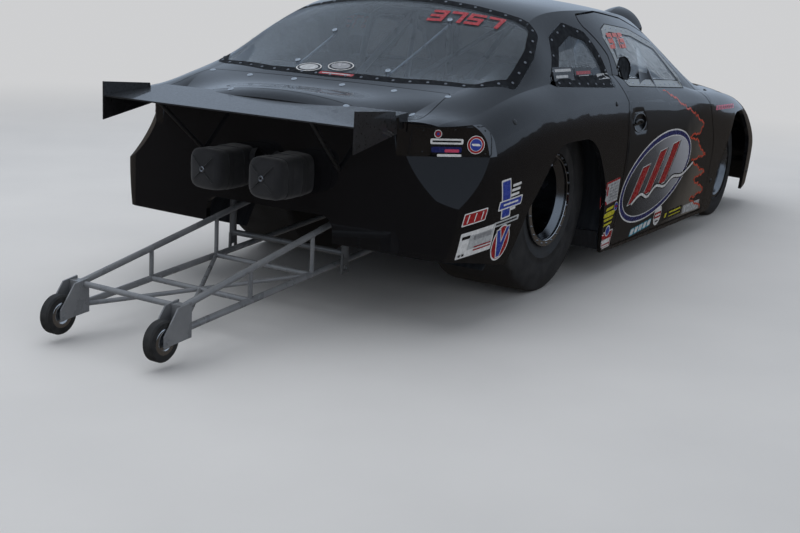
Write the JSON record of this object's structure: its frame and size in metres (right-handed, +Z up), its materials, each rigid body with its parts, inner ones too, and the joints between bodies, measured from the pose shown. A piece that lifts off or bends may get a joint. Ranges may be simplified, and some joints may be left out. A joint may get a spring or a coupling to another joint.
{
  "type": "drag racing car",
  "caption": "Closed two-door drag racing car on a tube chassis, with rear slicks, narrow front wheels, hood scoop, rear spoiler and wheelie bar.",
  "frame": {"origin": "on the ground, midway between the nose and the wheelie wheels, on the centre line", "axes": "+X forwards, +Y to the car's left, +Z up"},
  "size_m": [5.667, 1.8426, 1.3425],
  "materials": {
    "paint_black": "gloss black two-pack paint on a composite skin",
    "paint_silver": "satin silver over gloss black",
    "lamp_black": "gloss black moulded lamp panel",
    "window": "clear polycarbonate with a dark border",
    "spoiler_black": "black anodised sheet",
    "pack_fabric": "black woven nylon",
    "sheet_aluminium": "bare folded sheet",
    "dash_black": "matt black composite",
    "frame_paint": "dark powder coat on steel tube",
    "seat_black": "black cloth over a bucket shell",
    "bare_steel": "bare steel",
    "header_steel": "heat-tinted steel tube",
    "grip_black": "black suede grip",
    "cast_metal": "cast alloy",
    "axle_paint": "dark painted steel",
    "small_tyre": "solid rubber on an alloy hub",
    "slick_rubber": "treadless racing rubber",
    "polished_rim": "polished alloy"
  },
  "bodies": {
    "car_body": {"body_shell": "paint_black", "deck_lid": "paint_black", "front_clip": "paint_black", "hood": "paint_black", "hood_scoop": "paint_black", "tail_lamp_left": "lamp_black", "tail_lamp_right": "lamp_black", "windshield": "window", "rear_window": "window", "quarter_windows": "window", "rear_spoiler": "spoiler_black", "parachute_packs": "pack_fabric", "floor_pan": "sheet_aluminium", "wheel_tubs": "sheet_aluminium", "dash_panel": "dash_black", "chassis_frame": "frame_paint", "frame_braces": "frame_paint", "exhaust_headers": "header_steel", "wheelie_bar": "frame_paint", "seat": "seat_black", "steering_column": "bare_steel", "engine_block": "cast_metal", "transmission": "cast_metal", "driveshaft": "bare_steel", "rear_axle": "axle_paint", "rear_links": "bare_steel", "front_suspension": "bare_steel"},
    "door_left": {"door_left": "paint_silver", "door_window_left": "window"},
    "knuckle_left": {"knuckle_left": "bare_steel"},
    "front_wheel_left": {"front_wheel_left": "polished_rim", "front_tyre_left": "slick_rubber"},
    "rear_wheel_left": {"rear_wheel_left": "polished_rim", "rear_tyre_left": "slick_rubber"},
    "wheelie_wheel_left": {"wheelie_wheel_left": "small_tyre"},
    "door_right": {"door_right": "paint_silver", "door_window_right": "window"},
    "knuckle_right": {"knuckle_right": "bare_steel"},
    "front_wheel_right": {"front_wheel_right": "polished_rim", "front_tyre_right": "slick_rubber"},
    "rear_wheel_right": {"rear_wheel_right": "polished_rim", "rear_tyre_right": "slick_rubber"},
    "wheelie_wheel_right": {"wheelie_wheel_right": "small_tyre"},
    "steering_wheel": {"steering_wheel": "grip_black"},
    "steering_rack": {"steering_rack": "bare_steel"}
  },
  "joints": [
    {"name": "door_hinge_left", "type": "hinge", "parent": "car_body", "child": "door_left", "pos_m": [1.3285, 0.922, 0.5], "axis": [0, 0, -1], "range_deg": [0, 62]},
    {"name": "steer_left", "type": "hinge", "parent": "car_body", "child": "knuckle_left", "pos_m": [1.9185, 0.64, 0.33], "axis": [0, 0, 1], "range_deg": [-20, 20]},
    {"name": "front_spin_left", "type": "hinge", "parent": "knuckle_left", "child": "front_wheel_left", "pos_m": [1.9185, 0.737, 0.327], "axis": [0, 1, 0], "continuous": true},
    {"name": "rear_spin_left", "type": "hinge", "parent": "car_body", "child": "rear_wheel_left", "pos_m": [-0.7665, 0.585, 0.435], "axis": [0, 1, 0], "continuous": true},
    {"name": "wheelie_spin_left", "type": "hinge", "parent": "car_body", "child": "wheelie_wheel_left", "pos_m": [-2.7585, 0.252, 0.103], "axis": [0, 1, 0], "continuous": true},
    {"name": "door_hinge_right", "type": "hinge", "parent": "car_body", "child": "door_right", "pos_m": [1.3285, -0.922, 0.5], "axis": [0, 0, 1], "range_deg": [0, 62]},
    {"name": "steer_right", "type": "hinge", "parent": "car_body", "child": "knuckle_right", "pos_m": [1.9185, -0.64, 0.33], "axis": [0, 0, 1], "range_deg": [-20, 20]},
    {"name": "front_spin_right", "type": "hinge", "parent": "knuckle_right", "child": "front_wheel_right", "pos_m": [1.9185, -0.737, 0.327], "axis": [0, 1, 0], "continuous": true},
    {"name": "rear_spin_right", "type": "hinge", "parent": "car_body", "child": "rear_wheel_right", "pos_m": [-0.7665, -0.585, 0.435], "axis": [0, 1, 0], "continuous": true},
    {"name": "wheelie_spin_right", "type": "hinge", "parent": "car_body", "child": "wheelie_wheel_right", "pos_m": [-2.7585, -0.252, 0.103], "axis": [0, 1, 0], "continuous": true},
    {"name": "steering_wheel_turn", "type": "hinge", "parent": "car_body", "child": "steering_wheel", "pos_m": [0.5235, 0.425, 0.70886], "axis": [-0.9764, 0, 0.2161], "range_deg": [-240, 240]},
    {"name": "rack_slide", "type": "slide", "parent": "car_body", "child": "steering_rack", "axis": [0, 1, 0], "range_m": [-0.0377, 0.0377]}
  ],
  "couplings": [
    {"joint": "steer_left", "follows": "steering_wheel_turn", "ratio": 0.0833},
    {"joint": "steer_right", "follows": "steering_wheel_turn", "ratio": 0.0833},
    {"joint": "rack_slide", "follows": "steering_wheel_turn", "m_per_rad": 0.00898},
    {"joint": "rear_spin_right", "follows": "rear_spin_left", "ratio": 1}
  ]
}
